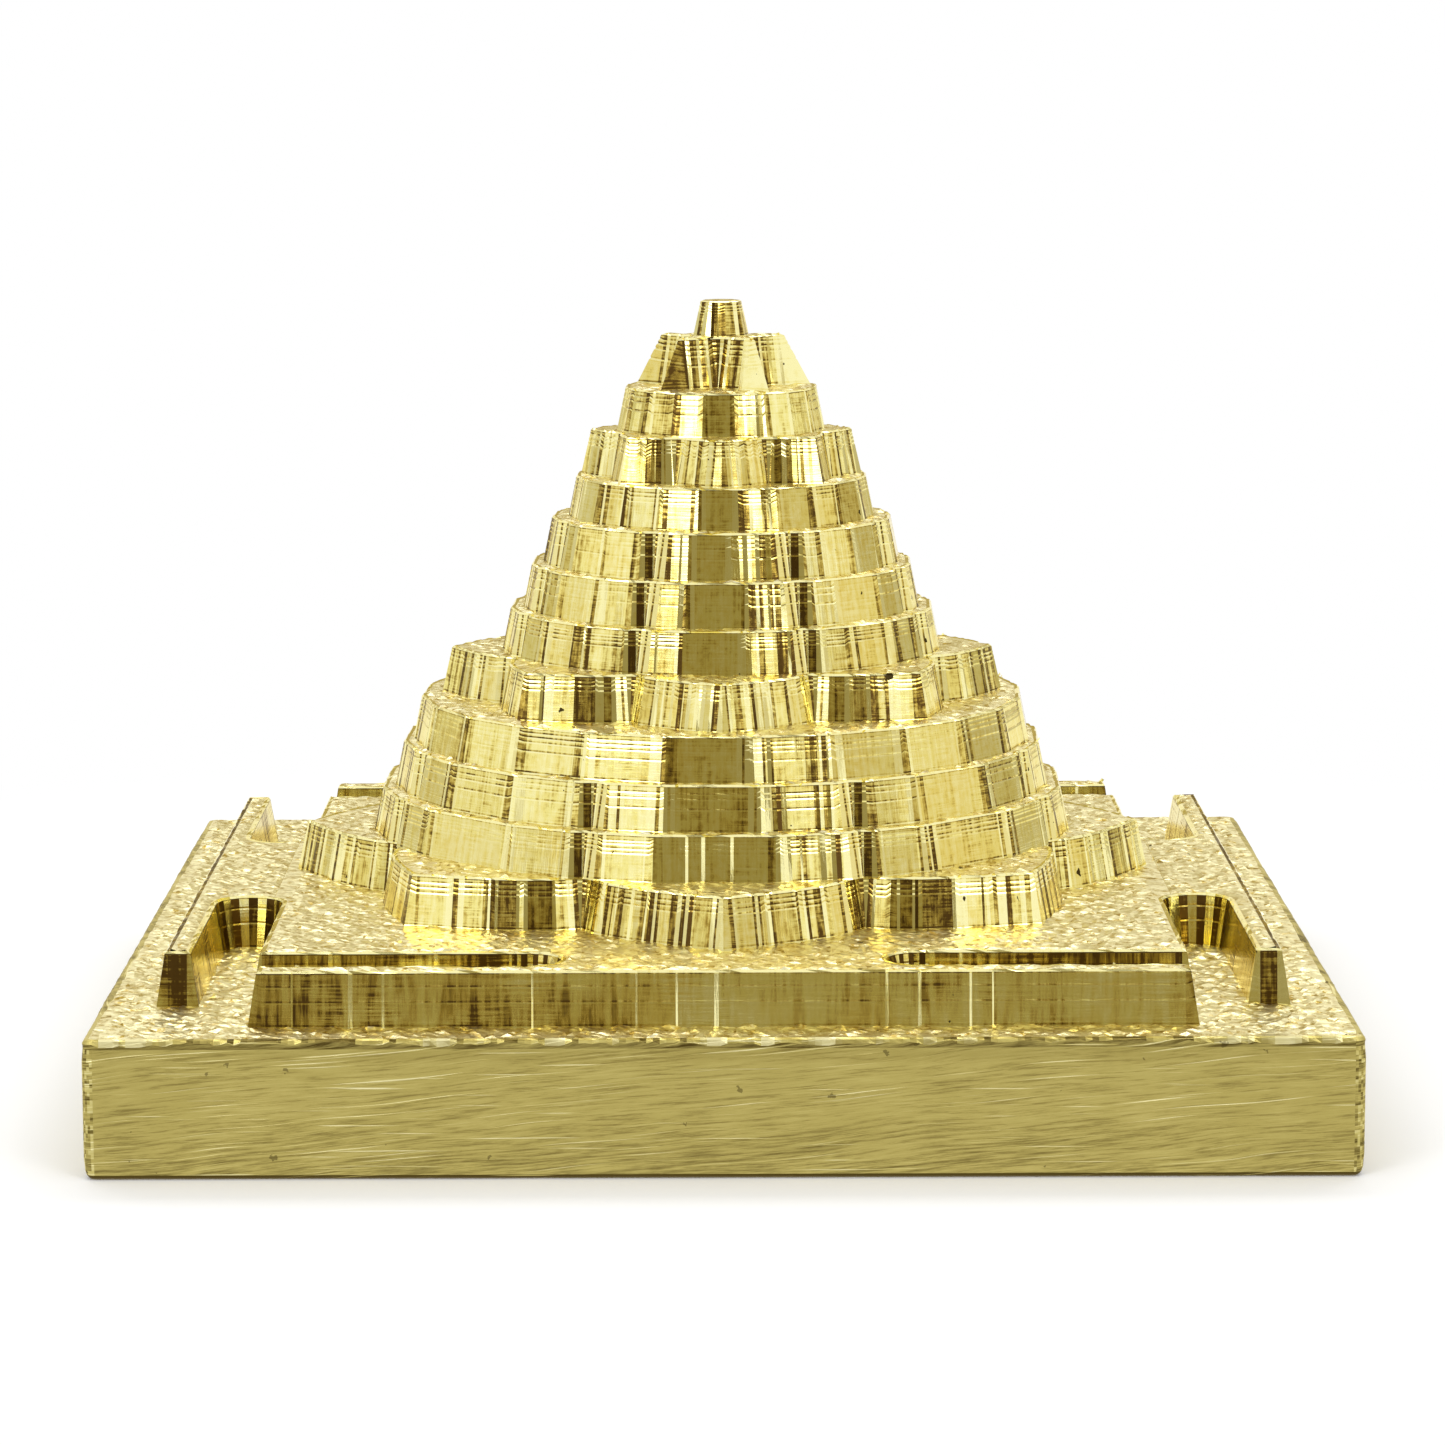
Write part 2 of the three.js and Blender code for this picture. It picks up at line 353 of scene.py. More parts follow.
# %% [markdown]
# The slab's sides were rubbed on abrasive paper by hand: fine, nearly level scratches and
# here and there a long bright one. Stretched noises, turned a few degrees, give both, and a
# slow noise bends them, because no hand rubs in straight lines.

# %% Rubbed scratches
BEND = 0.45
tree, given = new_group("rubbed_scratches", {"Run": None, "Turn": 0.09, "Fineness": 11.0})
run = given["Run"]
values = {"Vector": run, "Angle": given["Turn"]}
turned = place(tree, "ShaderNodeVectorRotate", values, rotation_type="Z_AXIS").outputs[0]
slow = combine(tree, "MULTIPLY", streaks(tree, run, 0.16, 0.5, 1.0), BEND)
drift = place(tree, "ShaderNodeCombineXYZ", {1: slow}).outputs[0]
turned = place(tree, "ShaderNodeVectorMath", {0: turned, 1: drift}, operation="ADD").outputs[0]
fine = streaks(tree, turned, 0.5, given["Fineness"], 5.0, 0.75)
broad = streaks(tree, turned, 0.14, 1.4, 2.0)
deep = between(tree, streaks(tree, turned, 0.16, 17.0, 1.0), 0.64, 0.73)
across = between(tree, streaks(tree, run, 0.2, 13.0, 1.0), 0.67, 0.74)
scratch = combine(tree, "MAXIMUM", deep, across)
results = {
    "Height": combine(tree, "SUBTRACT", fine, scratch),
    "Fine": between(tree, fine, *STREAK),
    "Broad": between(tree, broad, *STREAK),
    "Scratch": scratch,
}
rubbed = close_group(tree, results)

# %% [markdown]
# Brass bar has small voids, and a cutter opens some of them. Cells of a Voronoi texture
# place the dark specks, a noise makes them ragged, and a slow noise gathers them in places.

# %% Opened voids
RAGGED_SHARE = 0.3
inputs = {"Place": None, "Scale": 1.8, "Radius": 0.2, "Rarity": 0.7}
tree, given = new_group("opened_voids", inputs)
shake = place(tree, "ShaderNodeTexNoise", {"Vector": given["Place"], "Scale": 5.0, "Detail": 3.0})
values = {0: RAGGED_SHARE, 4: given["Place"], 5: shake.outputs["Color"]}
ragged = place(tree, "ShaderNodeMix", values, data_type="VECTOR").outputs[1]
cells = place(tree, "ShaderNodeTexVoronoi", {"Vector": ragged, "Scale": given["Scale"]}).outputs
draw = place(tree, "ShaderNodeSeparateColor", {0: cells["Color"]}).outputs
spongy = between(tree, fine_noise(tree, given["Place"], 1.0, 0.16), 0.42, 0.6)
chosen = combine(tree, "GREATER_THAN", draw[0], given["Rarity"])
reach = combine(tree, "MULTIPLY", combine(tree, "MULTIPLY", draw[1], spongy), given["Radius"])
near = combine(tree, "LESS_THAN", cells["Distance"], reach)
voids = close_group(tree, {"Void": combine(tree, "MULTIPLY", chosen, near)})

# %% [markdown]
# Bare brass drifts between a pale lemon and a redder gold. Where the cutter dragged, dark
# oil stays in some marks, and some strips are rubbed bright, drawn at random. The same tone
# also paints light: a painted highlight on rims, lips, ridges and groove lines, and painted
# shade under rims, beside grooves, at the feet of walls, in the slots and along the slab's
# lower edge. One group turns a tone from nought to one into that colour: bright, plain
# metal, stain and shade, residue and shade.

# %% Brass tone
VOID_BROWN = (0.06, 0.04, 0.012, 1)
# The stain and residue colours also paint the bands of painted shade, and the bright colour also
# paints the painted highlights.
TONE_STEPS = (("Bright", 0.45, 0.0), ("StainAndShade", 0.48, 0.78), ("ResidueAndShade", 0.74, 1.02))
inputs = {
    "Place": None,
    "Tone": 0.5,
    "Bright": (0.98, 0.91, 0.45, 1),
    "Fresh": (0.9, 0.795, 0.265, 1),
    "Warm": (0.86, 0.705, 0.195, 1),
    "StainAndShade": (0.5, 0.35, 0.06, 1),
    "ResidueAndShade": (0.1, 0.055, 0.012, 1),
    "Patch scale": 0.5,
    "Void": 0.0,
}
tree, given = new_group("brass_tone", inputs)
patch = between(tree, fine_noise(tree, given["Place"], 3.0, given["Patch scale"]), 0.4, 0.65)
colour = blend_colours(tree, patch, given["Fresh"], given["Warm"])
for name, low, high in TONE_STEPS:
    colour = blend_colours(tree, between(tree, given["Tone"], low, high), colour, given[name])
colour = blend_colours(tree, given["Void"], colour, VOID_BROWN)
darkening = between(tree, given["Tone"], 0.5, 1.0)
brass_tone = close_group(tree, {"Colour": colour, "Darkness": darkening})

# %% [markdown]
# ## The finishes
# Four brasses: the milled walls of the levels, the milled walls of the enclosure, the flat
# floors of the cuts, and the rubbed slab. The meshes below carry two things for them: a
# map, which on a wall holds the distance along the wall and down from its rim, and a tone
# for each face, which says how the cutter left that strip and where a highlight and shade
# are painted. A finish then adds its noises.

# %% Finish helpers
MAP_NAME = "cut_map"
TONE_NAME = "strip_tone"
PLAIN_TONE = 0.46
EDGE_TINT = (1.0, 0.94, 0.72, 1)


def use_group(tree, group, **values):
    named = {name.replace("_", " "): value for name, value in values.items()}
    return place(tree, "ShaderNodeGroup", named, node_tree=group).outputs


def brass(name, roughness, relief, make_marks, tones):
    """A metal with marks: their height, the noises that shift its tone, and its voids."""
    material, tree = new_material(name)
    cut_map = place(tree, "ShaderNodeUVMap", uv_map=MAP_NAME).outputs[0]
    tone = place(tree, "ShaderNodeAttribute", attribute_name=TONE_NAME).outputs["Fac"]
    solid = place(tree, "ShaderNodeTexCoord").outputs["Object"]
    in_mm = place(tree, "ShaderNodeVectorMath", {0: solid, 3: 1 / MM}, operation="SCALE").outputs[0]
    height, shares, void = make_marks(tree, cut_map, in_mm)
    for value, amount in shares:
        part = combine(tree, "MULTIPLY_ADD", value, amount, -0.5 * amount)
        tone = combine(tree, "ADD", tone, part)
    look = use_group(tree, brass_tone, Place=in_mm, Tone=tone, Void=void, **tones)
    worn = {"Value": look["Darkness"], "To Min": roughness[0], "To Max": roughness[1]}
    bump = place(tree, "ShaderNodeBump", {"Height": height, "Distance": relief * MM})
    metal = place(
        tree,
        "ShaderNodeBsdfPrincipled",
        {
            "Base Color": look["Colour"],
            "Metallic": 1.0,
            "Specular Tint": EDGE_TINT,
            "Roughness": place(tree, "ShaderNodeMapRange", worn).outputs[0],
            "Normal": bump.outputs[0],
        },
    )
    place(tree, "ShaderNodeOutputMaterial", {"Surface": metal.outputs[0]})
    print(name, len(tree.nodes), "nodes")
    return material


# %% Milled walls
CLOUD = (0.35, 0.65)


def in_patches(tree, streak, in_mm, scale):
    """Fades a streak to its middle value outside the patches of a slow noise."""
    patches = between(tree, fine_noise(tree, in_mm, 2.0, scale), 0.42, 0.6)
    return blend(tree, patches, 0.5, streak)


def level_marks(tree, cut_map, in_mm):
    lines = use_group(tree, cutter_lines, Run=cut_map, Upright=7.5, Level=14.0, Level_share=0.45)
    level = in_patches(tree, lines["Level streak"], in_mm, 1.3)
    blotches = between(tree, fine_noise(tree, in_mm, 3.0, 4.0), *CLOUD)
    shares = ((lines["Upright streak"], 0.36), (level, 0.4), (blotches, 0.26))
    return lines["Height"], shares, use_group(tree, voids, Place=in_mm)["Void"]


def gate_marks(tree, cut_map, in_mm):
    lines = use_group(tree, cutter_lines, Run=cut_map, Upright=4.5, Level=11.0, Level_share=0.3)
    level = in_patches(tree, lines["Level streak"], in_mm, 0.4)
    blotches = between(tree, fine_noise(tree, in_mm, 2.0, 0.3), *CLOUD)
    shares = ((lines["Upright streak"], 0.46), (level, 0.44), (blotches, 0.45))
    specks = use_group(tree, voids, Place=in_mm, Scale=2.6, Rarity=0.8)
    return lines["Height"], shares, specks["Void"]


level_wall = brass("milled_level_wall", (0.1, 0.3), 0.006, level_marks, {})
gate_wall = brass("milled_gate_wall", (0.16, 0.34), 0.01, gate_marks, {})


# %% Milled flats and the rubbed slab
SMUDGE = 0.55


def flat_marks(tree, cut_map, in_mm):
    arcs = use_group(tree, cutter_arcs, Place=in_mm)
    specks = use_group(tree, voids, Place=in_mm, Scale=2.6, Rarity=0.8)
    return arcs["Height"], ((arcs["Fleck"], 0.55),), specks["Void"]


def slab_marks(tree, cut_map, in_mm):
    rub = use_group(tree, rubbed, Run=cut_map)
    specks = use_group(tree, voids, Place=in_mm, Scale=1.9, Radius=0.12, Rarity=0.4)
    shares = ((rub["Fine"], 0.27), (rub["Broad"], 0.06), (rub["Scratch"], -0.62))
    return rub["Height"], shares, combine(tree, "MULTIPLY", specks["Void"], SMUDGE)


FLAT_TONES = {
    "Patch_scale": 1.5,
    "Bright": (1.0, 0.95, 0.62, 1),
    "Fresh": (0.82, 0.745, 0.45, 1),
    "Warm": (0.74, 0.655, 0.37, 1),
}
# The slab's colours are darker than the milled brass, partly for its duller rubbed finish and
# partly as a painted reflection of the darker room in front that its sides mirror; its darkest
# colour paints the shade along the lower edge.
SLAB_TONES = {
    "Bright": (0.95, 0.88, 0.5, 1),
    "Fresh": (0.66, 0.565, 0.195, 1),
    "Warm": (0.56, 0.475, 0.145, 1),
    "StainAndShade": (0.5, 0.41, 0.12, 1),
    "ResidueAndShade": (0.09, 0.06, 0.012, 1),
}
cut_floor = brass("milled_flat", (0.33, 0.48), 0.03, flat_marks, FLAT_TONES)
slab_side = brass("rubbed_slab", (0.34, 0.5), 0.005, slab_marks, SLAB_TONES)

# %% [markdown]
# ## Meshes from a cutter's path
# A tapered cutter went round each level. Its wall therefore leans out to the foot, corners
# that point out stay sharp, and corners that point in are rounded by the cutter, more at
# the rim than at the foot. So each level is drawn as a ring of columns: where the rim is,
# and which way that spot moves as the cutter gets thinner towards the foot.


# %% Rim points
def from_front(radius, degrees):
    """A point at a radius, at an angle from the front, positive to the right."""
    angle = math.radians(degrees - 90)
    return Vector((radius * math.cos(angle), radius * math.sin(angle)))


def arc(centre, radius, start, end, steps):
    """Points along an arc, by angle from the front, each with the way out of the arc there."""
    ways = [from_front(1, start + (end - start) * step / steps) for step in range(steps + 1)]
    return [(centre + way * radius, way) for way in ways]


def outward(start, end):
    """The way out of a shape that is drawn counter-clockwise, across one edge."""
    along = (end - start).normalized()
    return Vector((along.y, -along.x))


NOTCH_TURN = math.radians(20)


def corner_stops(corners, cutter_radius, fan_steps):
    """Rim points with the way each moves: one for a plain corner, a fan for a notch."""
    stops = []
    for i, corner in enumerate(corners):
        before = outward(corners[i - 1], corner)
        after = outward(corner, corners[(i + 1) % len(corners)])
        turn = math.atan2(before.cross(after), before.dot(after))
        mitre = (before + after) / (1 + before.dot(after))
        if turn > -NOTCH_TURN:
            stops.append([(corner, mitre)])
            continue
        centre = corner + mitre * cutter_radius
        angles = [turn * step / fan_steps for step in range(fan_steps + 1)]
        ways = [Matrix.Rotation(angle, 2) @ before for angle in angles]
        stops.append([(centre - way * cutter_radius, way) for way in ways])
    return stops


# %% [markdown]
# The cutter left every facet of a rim in its own way. A style says how busy a facet's
# strips are, how dark it is, and how often bright ridges stand between the wide strips.

# %% Facet styles
DARK_STRIP, BRIGHT_STRIP = 1.0, 0.0
SQUARE_ON, ROUND_FRONT, CHATTER_TO = 10, 6, 20


def facet_angle(start, end):
    """Where a facet faces, in degrees from the nearest side of the slab, within 45."""
    way = outward(start, end)
    return (math.degrees(math.atan2(way.y, way.x)) + 90 + 45) % 90 - 45


Style = namedtuple("Style", "busy tone ridges", defaults=(0.0,))


def round_style(angle, length, rng):
    """The cutter crossed the square-on facets cleanly and chattered just after them."""
    if abs(angle) < ROUND_FRONT:
        return Style(0.05, PLAIN_TONE + rng.uniform(-0.14, 0.06))
    tone = PLAIN_TONE + rng.uniform(-0.24, 0.04)
    if 0 < angle < CHATTER_TO:
        return Style(1.0, tone)
    if -CHATTER_TO < angle < 0:
        return Style(rng.choice((0.3, 0.6)), tone)
    return Style(rng.choice((0.0, 0.1, 0.25, 0.5)), tone)


def ridged_style(angle, length, rng):
    """Like the other rounds, but with upright ridges on the square-on facets."""
    style = round_style(angle, length, rng)
    return style._replace(ridges=0.6) if abs(angle) < ROUND_FRONT else style


def petal_style(angle, length, rng):
    """Square-on facets of a petal get the darkest tones."""
    if abs(angle) < SQUARE_ON:
        return Style(0.4, rng.uniform(0.7, 0.92))
    return Style(rng.choice((0.4, 0.7, 1.0)), PLAIN_TONE + rng.uniform(-0.14, 0.1))


def star_style(angle, length, rng):
    """The star is mostly bright, and darker in the valleys."""
    return Style(1.0, PLAIN_TONE + rng.uniform(-0.1, 0.3), 0.6)


def point_style(angle, length, rng):
    """The small cutter rubbed all round the point, and left it brown and streaked."""
    return Style(1.0, rng.uniform(0.6, 0.85))


# %% [markdown]
# So a facet is parted into upright strips: narrow, restless ones near its ends, where the
# cutter turned and chattered, and wide, calm ones between. Beside a notch one is dark.

# %% Strips of a facet
RIDGE_WIDTH, RIDGE_SLOPE = (0.04, 0.14), 0.26
EDGE_STRIP, WIDE_STRIP = (0.06, 0.19), (0.25, 0.5)
CHATTER, FLAT_CHATTER = 0.009, 0.0008
DARK_DRAW, BRIGHT_DRAW = 0.36, 0.78
NOTCH_DARK, NOTCH_BRIGHT_WIDTH = (0.2, DARK_STRIP, 0.0), 0.12


def edge_widths(reach, rng):
    """Narrow strips near an end of a facet, where the cutter turned and chattered."""
    widths = []
    while sum(widths) < reach - 0.05:
        widths.append(rng.uniform(*EDGE_STRIP))
    return widths


def middle_strips(spare, rng, ridges):
    """Width of each wide strip, and whether it is one of the narrow ridges between them."""
    strips = [(min(spare, rng.uniform(*WIDE_STRIP)), False)]
    while sum(width for width, _ in strips) < spare - 0.1:
        if rng.random() < ridges:
            strips.append((rng.uniform(*RIDGE_WIDTH), True))
        strips.append((rng.uniform(*WIDE_STRIP), False))
    return strips


def strip_widths(length, rng, style):
    """The upright strips along one facet: narrow near its ends, wide between."""
    reach = min(0.12 * length + 0.3 * length * style.busy, 0.3 + 0.6 * style.busy)
    first, last = edge_widths(reach, rng), edge_widths(reach, rng)
    spare = max(length - sum(first) - sum(last), 0.05)
    return first, middle_strips(spare, rng, style.ridges), last


def strip_tone(rng, busy):
    """Some strips keep dark residue, some are rubbed bright, and the rest are plain."""
    draw = rng.random()
    if draw < DARK_DRAW:
        share = rng.uniform(0.5, 1.2)
        return PLAIN_TONE + (DARK_STRIP - PLAIN_TONE) * share * min(busy + 0.5, 1)
    if draw < BRIGHT_DRAW:
        return BRIGHT_STRIP
    return PLAIN_TONE


def plan_strips(length, rng, style, notched):
    """Width, tone and push of each strip along a facet."""
    first, middle, last = strip_widths(length, rng, style)
    edge_push = CHATTER * (0.4 + style.busy)

    def restless(width):
        return width, strip_tone(rng, style.busy), rng.uniform(-edge_push, edge_push)

    strips = [restless(width) for width in first]
    for width, is_ridge in middle:
        # A ridge gets the bright tone: a painted highlight along its edge, on top of its slope in
        # the geometry.
        if is_ridge:
            strips.append((width, BRIGHT_STRIP, width * RIDGE_SLOPE))
        else:
            tone = style.tone + rng.uniform(-0.07, 0.07)
            strips.append((width, tone, rng.uniform(-FLAT_CHATTER, FLAT_CHATTER)))
    strips += [restless(width) for width in last]
    if notched[0]:
        strips[:1] = NOTCH_DARK, (NOTCH_BRIGHT_WIDTH, BRIGHT_STRIP, edge_push)
    if notched[1]:
        strips[-1:] = (NOTCH_BRIGHT_WIDTH, BRIGHT_STRIP, edge_push), NOTCH_DARK
    return strips


# %% [markdown]
# A column stands where one strip ends and the next begins. It knows where the rim is there,
# which way out is, the tone of the strip after it, and how the cutter swerved.

# %% A ring of columns
COLUMN_PARTS = "point way tone push lean groove drop"
Column = namedtuple("Column", COLUMN_PARTS, defaults=(0.0, 1.0, 1.0, 0.0))
FLANK_LENGTH, SHORTEST_FACET = 0.6, 0.12
LEAN_CHATTER, GROOVE_DROP = 0.05, 0.06
CALM, CALM_GROOVE, BUSY_GROOVE = 0.12, (0.2, 0.5), (0.6, 1.1)
# Where each strip of a notch's short side starts, and its tone: by whether the side faces
# squarely, and whether the notch comes after it.
FLANKS = {
    (True, False): ((0.0, DARK_STRIP), (0.7, BRIGHT_STRIP)),
    (True, True): ((0.0, BRIGHT_STRIP), (0.3, DARK_STRIP)),
    (False, False): ((0.0, BRIGHT_STRIP), (0.3, 0.8), (0.55, BRIGHT_STRIP)),
    (False, True): ((0.0, BRIGHT_STRIP), (0.45, 0.8), (0.7, BRIGHT_STRIP)),
}


def notch_flank(start, end, way, notched):
    strips = FLANKS[abs(facet_angle(start, end)) <= SQUARE_ON, notched[1]]
    return [Column(start.lerp(end, share), way, tone) for share, tone in strips]


def facet_columns(start, end, rng, chatter, style_of, notched):
    """The columns between two stops of a rim. The first one stands at the start."""
    way = outward(start, end)
    length = (end - start).length
    if any(notched) and length < FLANK_LENGTH:
        return notch_flank(start, end, way, notched)
    style = style_of(facet_angle(start, end), length, rng)
    strips = plan_strips(length, rng, style, notched)
    total = sum(strip[0] for strip in strips)
    groove = rng.uniform(*(CALM_GROOVE if style.busy < CALM else BUSY_GROOVE))
    drop = rng.uniform(0, GROOVE_DROP)
    columns, gone = [], 0.0
    for width, tone, push in strips:
        lean = 1 + rng.uniform(-1, 1) * LEAN_CHATTER * min(abs(push) / CHATTER, 1)
        spot = start.lerp(end, gone / total)
        depth = groove * rng.uniform(0.5, 1.2)
        columns.append(Column(spot, way, tone, push * chatter, lean, depth, drop))
        gone += width
    return columns


FAN_TONES = (BRIGHT_STRIP, DARK_STRIP, BRIGHT_STRIP, DARK_STRIP)
STAR_FAN_TONES = (DARK_STRIP, DARK_STRIP, BRIGHT_STRIP, DARK_STRIP)


def ring_of_columns(stops, rng, style_of, chatter=1.0, fan_tones=FAN_TONES):
    """Columns round the whole rim. A fan in a notch alternates bright and dark strips."""
    columns = []
    for i, fan in enumerate(stops):
        after = stops[(i + 1) % len(stops)]
        for k, (point, way) in enumerate(fan):
            tone = fan_tones[k % len(fan_tones)] if len(fan) > 2 else BRIGHT_STRIP
            columns.append(Column(point, way, tone))
        start, end = fan[-1][0], after[0][0]
        if (end - start).length < SHORTEST_FACET:
            continue
        notched = (len(fan) > 2, len(after) > 2)
        strips = facet_columns(start, end, rng, chatter, style_of, notched)
        columns[-1] = columns[-1]._replace(tone=strips[0].tone, groove=strips[0].groove)
        columns += strips[1:]
    return columns


# %% [markdown]
# The wall below a rim is not one slope. The rim itself has a raised lip and a tiny bevel
# that mirrors the white above, and both are also painted bright, a painted highlight, with a
# band of painted shade under them. The cutter went down in passes, and the first few left
# level grooves a hair deep near the rim, so the profile has short ledges there. Each groove
# is painted with a dark band of shade above it and a bright line at it, and the foot with a
# dark band of painted shade and then a painted bright line.

# %% Wall profiles
LEVEL_GROOVES = (
    (0.1, 0.2, 0.29),
    (0.1, 0.17, 0.25, 0.34),
    (0.12, 0.24, 0.45),
    (0.1, 0.2, 0.29, 0.5),
)
GATE_GROOVES = (0.22, 0.5)
BEVEL_END, FOOT_BAND = 0.05, 0.9
LIP = 0.02
Band = namedtuple("Band", "share push_in tone")


def groove_profile(grooves, depth, rng, lip=LIP):
    """The level lines from a wall's rim to its foot, each with the tone of the band below."""
    # Painted light: the band under the bevel is painted dark, as painted shade, and each groove
    # gets a dark band of painted shade above it and a bright band, a painted highlight, at it.
    rows = [(0.03, -0.002, 0.85), (BEVEL_END, 0.0, PLAIN_TONE)]
    for share in grooves:
        share += rng.uniform(-0.012, 0.012)
        rows.append((share - 0.035, -depth / 10, rng.uniform(0.7, 1.0)))
        rows.append((share, depth * rng.uniform(0.7, 1.2), rng.uniform(0.0, 0.2)))
        rows.append((share + 0.03, depth / 10, PLAIN_TONE))
    # At the foot, a dark band of painted shade and then a bright band, a painted highlight.
    rows += [(0.7, 0.001, PLAIN_TONE), (0.93, 0.0, 0.85), (0.965, 0.0, 0.1), (1.0, -0.01, 0.5)]
    # The lip is painted bright and the band under the rim nearly so: painted highlights.
    return [Band(*row) for row in [(0.0, 0.15, 0.25), (-lip, 0.05, 0.0)] + sorted(rows)]


# %% [markdown]
# A shell is a list of points and faces that is filled first and made into a mesh at the
# end. The wall is a grid of columns and rows. Every flat is a triangle net over scattered
# points, lifted a hair here and there, which is what makes milled metal sparkle.

# %% Shells
FLAT, WALL = 1, 0


class Shell:
    def __init__(self):
        self.points, self.faces = [], []

    def add_points(self, points):
        first = len(self.points)
        self.points.extend(points)
        return first

    def add_face(self, corners, mapped, finish, tone):
        self.faces.append((corners, mapped, finish, tone))

    def make(self, name, materials, node, slot):
        corners, maps, finishes, tones = zip(*self.faces)
        mesh = bpy.data.meshes.new(name)
        mesh.from_pydata([Vector(point) * MM for point in self.points], [], corners)
        places = [part for mapped in maps for uv in mapped for part in uv]
        mesh.uv_layers.new(name=MAP_NAME).data.foreach_set("uv", places)
        mesh.polygons.foreach_set("material_index", finishes)
        mesh.attributes.new(TONE_NAME, "FLOAT", "FACE").data.foreach_set("value", tones)
        for material in materials:
            mesh.materials.append(material)
        piece = bpy.data.objects.new(name, mesh)
        bpy.context.scene.collection.objects.link(piece)
        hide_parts(node)
        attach(piece, "root")
        print(name, len(mesh.polygons), "faces")
        return piece


def add_grid(shell, spots, rings, depths, tone_of):
    """Joins rings of points, one under another, into a wall. Returns its rim and its foot."""
    count = len(spots)
    run = [0.0]
    for i in range(count):
        run.append(run[-1] + (spots[(i + 1) % count] - spots[i]).length)
    rows = [shell.add_points(ring) for ring in rings]
    for k, (row_a, row_b) in enumerate(zip(rows, rows[1:])):
        a, b = depths[k], depths[k + 1]
        for i in range(count):
            j = (i + 1) % count
            corners = (row_a + i, row_b + i, row_b + j, row_a + j)
            mapped = ((run[i], a), (run[i], b), (run[i + 1], b), (run[i + 1], a))
            shell.add_face(corners, mapped, WALL, tone_of(k, i))
    return [list(range(row, row + count)) for row in (rows[0], rows[-1])]


# %% Walls
RIM_NICK, RIM_WOBBLE = 0.09, 0.9
NICK_GRAIN, WOBBLE_GRAIN = 2.8, 3.5
SEAM_SCALE = 0.05


def wall_ring(columns, band, top, height, spread):
    """One level line of a wall. A column without grooves stands in a seam, and has no lip."""
    ring = []
    grooved = BEVEL_END < band.share < FOOT_BAND
    for column in columns:
        share = band.share + (column.drop if grooved else 0)
        edge = 1 if column.groove else SEAM_SCALE
        bite = band.push_in * (column.groove if share > BEVEL_END else edge)
        nick = 0.0
        if share < 0:
            bite *= 1 + RIM_WOBBLE * noise.noise(column.point.to_3d() * WOBBLE_GRAIN)
            nick = RIM_NICK * abs(noise.noise(column.point.to_3d() * NICK_GRAIN))
        reach = spread * max(share, 0.0) * column.lean + column.push - bite
        spot = column.point + column.way * reach
        ring.append((spot.x, spot.y, top - (share * height + nick) * (edge if share <= 0 else 1)))
    return ring


def add_wall(shell, columns, top, height, spread, profile, lip_tones=None):
    """A wall from its rim to its foot. Returns the point numbers of both."""

    def tone_of(k, i):
        band, column = profile[k], columns[i]
        if band.share == 0 and lip_tones:
            return lip_tones[i]
        if band.share <= 0:
            return band.tone
        shift = band.tone - PLAIN_TONE
        return column.tone + shift * (column.groove if band.share > BEVEL_END else 1)

    rings = [wall_ring(columns, band, top, height, spread) for band in profile]
    depths = [band.share * height for band in profile]
    return add_grid(shell, [column.point for column in columns], rings, depths, tone_of)


# %% [markdown]
# Points are scattered only where a flat shows: between its own rim and the foot of the
# level above. The lift comes from a smooth noise, so the same script always gives the same
# metal.

# %% Flats and burrs
RELIEF_GRAIN, RELIEF_BASE = 3.4, 0.4
TRIANGLES_INSIDE, MERGE_WITHIN = 1, 1e-5
FLAT_TONE = (0.04, 0.7, 0.3)
JITTER = (0.1, 0.9)


def scatter_band(rng, inside, half, spacing):
    """Jittered points on a square net, kept where the test says so."""
    net = product(range(int(2 * half / spacing)), repeat=2)
    spots = [[(k + rng.uniform(*JITTER)) * spacing - half for k in pair] for pair in net]
    return [Vector(spot) for spot in spots if inside(*spot)]


def milled_lift(spot, depth):
    """Lift in millimetres at a spot, always up, so that no gap opens under a wall."""
    grain = Vector((spot.x * RELIEF_GRAIN, spot.y * RELIEF_GRAIN, 0.5))
    return depth * max(0.0, RELIEF_BASE + noise.noise(grain))


def add_flat(shell, rim, z, scatter, depth, rng=None, up=True):
    """Closes a rim with a triangle net over its points and the scattered ones inside."""
    outline = [Vector(shell.points[i][:2]) for i in rim]
    edges = [(i, (i + 1) % len(rim)) for i in range(len(rim))]
    net = delaunay_2d_cdt(outline + scatter, edges, [], TRIANGLES_INSIDE, MERGE_WITHIN)
    spots, _, triangles, came_from = net[:4]
    numbers = []
    for spot, source in zip(spots, came_from):
        if source and min(source) < len(rim):
            numbers.append(rim[min(source)])
        else:
            numbers.append(shell.add_points([(spot.x, spot.y, z + milled_lift(spot, depth))]))
    for triangle in triangles:
        corners = [numbers[i] for i in triangle]
        mapped = [tuple(spots[i]) for i in triangle]
        a, b, c = (spots[i] for i in triangle)
        if ((b - a).cross(c - a) > 0) != up:
            corners.reverse()
            mapped.reverse()
        tone = rng.triangular(*FLAT_TONE) if rng else PLAIN_TONE
        shell.add_face(corners, mapped, FLAT, tone)


BURR_CHANCE, BURR_SIZE, BURR_ROOT = 0.018, 0.16, 0.04


